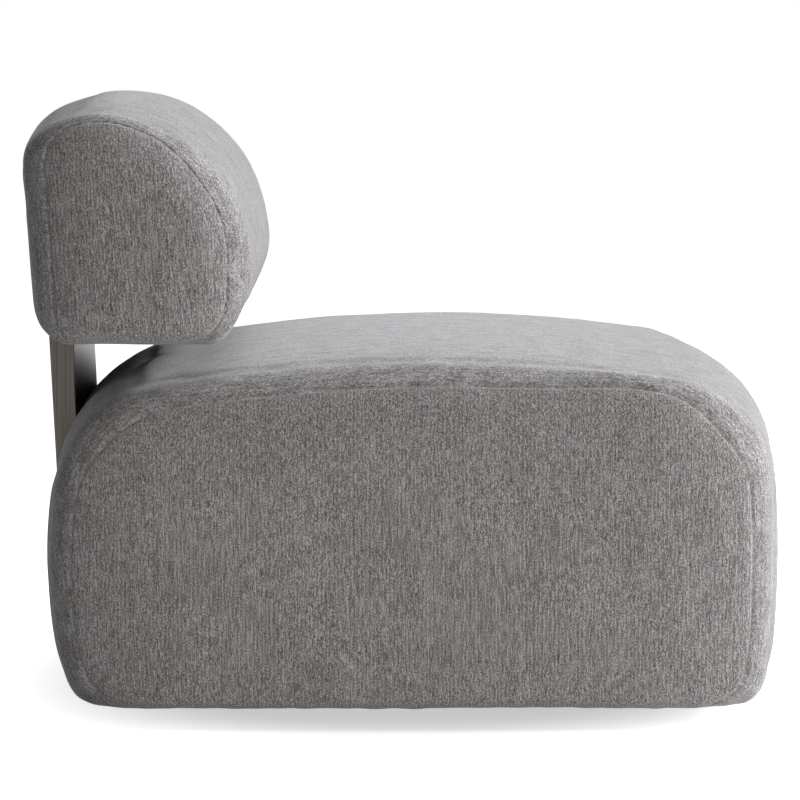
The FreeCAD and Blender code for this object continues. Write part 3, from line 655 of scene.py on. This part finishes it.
def open_underside(bm, x0, x1, half_y):
    """Take out the underside inside the hem."""
    for x in (x0, x1):
        slice_mesh(bm, (x, 0, 0), forward, edge_slice_room)
    for y in (half_y, -half_y):
        slice_mesh(bm, (0, y, 0), sideways, edge_slice_room)
    inside = []
    for f in bm.faces:
        middle = f.calc_center_median()
        under = f.normal.z < -0.5 and middle.z < underside_top
        if under and x0 < middle.x < x1 and abs(middle.y) < half_y:
            inside.append(f)
    bmesh.ops.delete(bm, geom=inside, context="FACES")
    return len(inside)


hem_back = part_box("hem_batten_back")[1].x
hem_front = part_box("hem_batten_front")[0].x
hem_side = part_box("hem_batten_front")[1].y
seat_slot = cut_slot(seat_bm, *seat_slot_heights)
underside = open_underside(seat_bm, hem_back, hem_front, hem_side)
back_slot = cut_slot(back_bm, *back_slot_heights)
print("faces taken out: seat slot", seat_slot, "underside", underside, "back slot", back_slot)

# %% [markdown]
# The finished skin is parted along its seams into the panels that a sewer would cut: a band and two ends.
# One mesh with three materials would do for a picture, but separate panels can each stand for their own
# solids, and each gets the cloth with its strands in the right direction. The back cushion leans with
# the post, so the cloth of its ends is cut a little off the vertical.

# %% Panels
cover_thickness = 0.0018


def panel(name, bm, keep, cloth, stands_for):
    """One sewn panel: the faces of the skin that it keeps."""
    part = bm.copy()
    bmesh.ops.delete(part, geom=[f for f in part.faces if not keep(f.calc_center_median().y)],
                     context="FACES")
    for f in part.faces:
        f.smooth = True
    piece = piece_of(name, part)
    piece.data.materials.append(cloth)
    wall = piece.modifiers.new("cloth_thickness", "SOLIDIFY")
    wall.thickness = cover_thickness
    wall.offset = -1.0
    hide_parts(*stands_for)
    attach(piece, "seat")
    return piece


def panels(bm, seam, stands_for, band_cloth, end_cloth):
    """Band, left end and right end of a sewn cushion, each with the solids that it stands for."""
    band, left, right = stands_for
    made = [
        panel(band, bm, lambda y: abs(y) < seam, band_cloth, stands_for[band]),
        panel(left, bm, lambda y: y > seam, end_cloth, stands_for[left]),
        panel(right, bm, lambda y: y < -seam, end_cloth, stands_for[right]),
    ]
    bm.free()
    return made


seat_pieces = panels(seat_bm, seat_seam, {
    "seat_band": ("seat_cover_band", "seat_foam", "front_foam", "back_foam"),
    "seat_end_left": ("seat_side_cover_left", "side_foam_left"),
    "seat_end_right": ("seat_side_cover_right", "side_foam_right"),
}, cloth_band, cloth_side)
back_pieces = panels(back_bm, back_seam, {
    "back_band": ("backrest_cover_band", "backrest_foam", "backrest_rear_pad"),
    "back_end_left": ("backrest_end_cover_left",),
    "back_end_right": ("backrest_end_cover_right",),
}, cloth_band, cloth_end)
print("panels", [(p.name, len(p.data.polygons)) for p in seat_pieces + back_pieces])

# %% [markdown]
# ## Post: brushed dark metal
# The post is a folded steel sleeve, brushed lengthwise and stained dark. Brushing leaves fine scratches
# that run up the post and break up its gloss. Each scratch could be cut into the mesh, but they are far
# finer than any cell, so a noise that is very long along the post and very fine across it gives them, in
# the colour and in a shallow relief.

# %% Brushed metal
scratch_width = 0.0007
scratch_length = 0.200
scratch_strength = 0.15
scratch_depth = 0.0002
post_dark = (0.055, 0.050, 0.044, 1)
post_pale = (0.110, 0.102, 0.090, 1)


def brushed_metal(name, dark, pale):
    """Metal brushed lengthwise."""
    material, tree, shader = new_material(name)
    place = tree.nodes.new("ShaderNodeTexCoord")
    scratch = noise_of(tree, place.outputs["Object"], (scratch_width, scratch_width, scratch_length), 3.0)
    tree.links.new(ramp_of(tree, scratch, (0.30, dark), (0.70, pale)), shader.inputs["Base Color"])
    tree.links.new(relief_of(tree, scratch, scratch_strength, scratch_depth), shader.inputs["Normal"])
    shader.inputs["Metallic"].default_value = 1.0
    shader.inputs["Roughness"].default_value = 0.30
    return material


post_finish = brushed_metal("brushed_post", post_dark, post_pale)
print("post finish", post_finish.name)

# %% [markdown]
# ## Finishes of the hidden construction
# The timber, foam, webbing, bearing and fasteners are out of sight, but a chair that is taken apart or
# lifted shows them. Patterns would be lost in there, so each slot of the construction gets a plain colour
# with the gloss of its material.

# %% Plain finishes
def plain(name, colour, roughness, metallic):
    """A finish of one colour."""
    material, tree, shader = new_material(name)
    shader.inputs["Base Color"].default_value = (*colour, 1)
    shader.inputs["Roughness"].default_value = roughness
    shader.inputs["Metallic"].default_value = metallic
    return material


finishes = {
    "foam": plain("foam", (0.80, 0.76, 0.62), 0.95, 0.0),
    "plywood": plain("plywood", (0.55, 0.40, 0.25), 0.65, 0.0),
    "hardwood": plain("hardwood", (0.48, 0.33, 0.20), 0.60, 0.0),
    "webbing": plain("webbing", (0.05, 0.05, 0.06), 0.85, 0.0),
    "deck_felt": plain("deck_felt", (0.30, 0.30, 0.31), 0.95, 0.0),
    "dust_cloth": plain("dust_cloth", (0.020, 0.020, 0.021), 0.95, 0.0),
    "brushed_sleeve": post_finish,
    "bar_steel": plain("bar_steel", (0.05, 0.05, 0.05), 0.50, 0.6),
    "zinc_steel": plain("zinc_steel", (0.62, 0.63, 0.65), 0.35, 1.0),
    "fastener_steel": plain("fastener_steel", (0.50, 0.51, 0.53), 0.35, 1.0),
    "ball_steel": plain("ball_steel", (0.70, 0.71, 0.72), 0.15, 1.0),
    "cage_nylon": plain("cage_nylon", (0.80, 0.78, 0.70), 0.50, 0.0),
    "spacer_plastic": plain("spacer_plastic", (0.04, 0.04, 0.04), 0.55, 0.0),
    "glide_plastic": plain("glide_plastic", (0.03, 0.03, 0.03), 0.50, 0.0),
    "plinth_black": plain("plinth_black", (0.018, 0.018, 0.018), 0.55, 0.0),
    "bush_bronze": plain("bush_bronze", (0.60, 0.42, 0.22), 0.35, 1.0),
    "upholstery": cloth_side,
}
for part in frame["record"]["subparts"]:
    piece = nodes[part["node"]]
    piece.data.materials.clear()
    piece.data.materials.append(finishes[part["material_slot"]])

# %% [markdown]
# ## Studio
# A product photograph on white: the floor and the background are as white as paper to the camera, and
# only the soft shadow under the chair stays. More lamp light would bleach the chair, so the floor glows
# by itself, for the camera and in mirrors only. In an oval under the chair the glow is weaker: lamp light
# makes up the rest of the white there, and a shadow can take that part away.

# %% Floor and background
floor_half = 14.0
floor_glow = 0.55
oval_x, oval_y = 0.45, 0.54
fade_start, fade_end = 0.60, 1.15
floor_bm = bmesh.new()
bmesh.ops.create_grid(floor_bm, x_segments=1, y_segments=1, size=floor_half)
floor = piece_of("floor", floor_bm)


def straight_view(tree):
    """1 for what the camera sees, straight or in a mirror, and 0 for light on its way to the chair."""
    ray = tree.nodes.new("ShaderNodeLightPath")
    total = ray.outputs["Is Camera Ray"]
    for other in ("Is Glossy Ray", "Is Transmission Ray"):
        add = tree.nodes.new("ShaderNodeMath")
        add.operation = "ADD"
        add.use_clamp = True
        tree.links.new(total, add.inputs[0])
        tree.links.new(ray.outputs[other], add.inputs[1])
        total = add.outputs["Value"]
    return total


def oval_glow(tree):
    """The floor's glow: weaker in an oval round the origin, and full further out."""
    place = tree.nodes.new("ShaderNodeTexCoord")
    oval = tree.nodes.new("ShaderNodeMapping")
    oval.inputs["Scale"].default_value = (1 / oval_x, 1 / oval_y, 1.0)
    tree.links.new(place.outputs["Object"], oval.inputs["Vector"])
    reach = tree.nodes.new("ShaderNodeVectorMath")
    reach.operation = "LENGTH"
    tree.links.new(oval.outputs["Vector"], reach.inputs[0])
    fade = tree.nodes.new("ShaderNodeMapRange")
    fade.interpolation_type = "SMOOTHSTEP"
    fade.inputs["From Min"].default_value = fade_start
    fade.inputs["From Max"].default_value = fade_end
    fade.inputs["To Min"].default_value = floor_glow
    fade.inputs["To Max"].default_value = 1.0
    tree.links.new(reach.outputs["Value"], fade.inputs["Value"])
    return fade.outputs["Result"]


floor_paper, tree, paper = new_material("white_floor")
paper.inputs["Base Color"].default_value = (0.80, 0.80, 0.80, 1)
paper.inputs["Roughness"].default_value = 1.0
paper.inputs["Specular IOR Level"].default_value = 0.0
paper.inputs["Emission Color"].default_value = (1, 1, 1, 1)
glow = tree.nodes.new("ShaderNodeMath")
glow.operation = "MULTIPLY"
tree.links.new(oval_glow(tree), glow.inputs[0])
tree.links.new(straight_view(tree), glow.inputs[1])
tree.links.new(glow.outputs["Value"], paper.inputs["Emission Strength"])
floor.data.materials.append(floor_paper)
print("floor", [round(v, 1) for v in floor.dimensions])

# %% [markdown]
# The background is white to the camera in the same way. As light on the chair it is only a dim grey, like
# the far walls of a studio: a white world would light the chair from all sides and flatten it.

# %% World
ambient = 0.11
world = bpy.data.worlds.new("white_studio")
bpy.context.scene.world = world
world.use_nodes = True
tree = world.node_tree
dim = tree.nodes["Background"]
dim.inputs["Color"].default_value = (1, 1, 1, 1)
dim.inputs["Strength"].default_value = ambient
white = tree.nodes.new("ShaderNodeBackground")
white.inputs["Color"].default_value = (1, 1, 1, 1)
white.inputs["Strength"].default_value = 1.0
choose = tree.nodes.new("ShaderNodeMixShader")
tree.links.new(straight_view(tree), choose.inputs["Fac"])
tree.links.new(dim.outputs["Background"], choose.inputs[1])
tree.links.new(white.outputs["Background"], choose.inputs[2])
tree.links.new(choose.outputs["Shader"], tree.nodes["World Output"].inputs["Surface"])
print("world", world.name)

# %% [markdown]
# The key light is a big softbox in front of the chair, which is to the right of the picture, and another
# hangs above it: they make the front and the top pale and cool. The side that faces the camera gets only
# a warmer fill from the front right, and the rear none. Big lamps are used because small ones would draw
# hard shadows, which the soft cloth doesn't show.

# %% Lamps
lamp_target = Vector((0, 0, 0.3))
cool_white = (0.985, 1.0, 1.06)
warm_white = (1.0, 0.93, 0.87)


def softbox(name, place, size, power, colour):
    """Square area lamp that looks at the chair."""
    light = bpy.data.lights.new(name, "AREA")
    light.shape = "SQUARE"
    light.size = size
    light.energy = power
    light.color = colour
    lamp = bpy.data.objects.new(name, light)
    lamp.location = place
    lamp.rotation_euler = (lamp_target - Vector(place)).to_track_quat("-Z", "Y").to_euler()
    bpy.context.scene.collection.objects.link(lamp)
    return lamp


lamps = [
    softbox("front_key", (3.2, 0.0, 1.5), 1.8, 121.0, cool_white),
    softbox("top_key", (0.6, 0.5, 3.2), 2.2, 49.0, cool_white),
    softbox("side_fill", (2.6, -3.4, 0.9), 2.0, 60.0, warm_white),
]
print("lamps", [lamp.name for lamp in lamps])

# %% [markdown]
# ## Camera
# The picture is taken squarely from the chair's side, from a little above its back and five metres away.
# A long lens at that distance keeps the side panels almost flat, and the small tilt shows a strip of the
# seat's top, as in the photograph.

# %% Camera
camera_place = (-0.0065, -5.000, 0.8224)
camera_lens = 190.85
camera_dip = 5.646
camera_data = bpy.data.cameras.new("camera")
camera_data.sensor_width = 36.0
camera_data.lens = camera_lens
camera_data.clip_end = 60.0
camera = bpy.data.objects.new("camera", camera_data)
camera.location = camera_place
camera.rotation_euler = (math.radians(90 - camera_dip), 0, 0)
bpy.context.scene.collection.objects.link(camera)
bpy.context.scene.camera = camera
bpy.context.scene.view_settings.view_transform = "Standard"
print("camera", camera_data.lens, "mm lens")
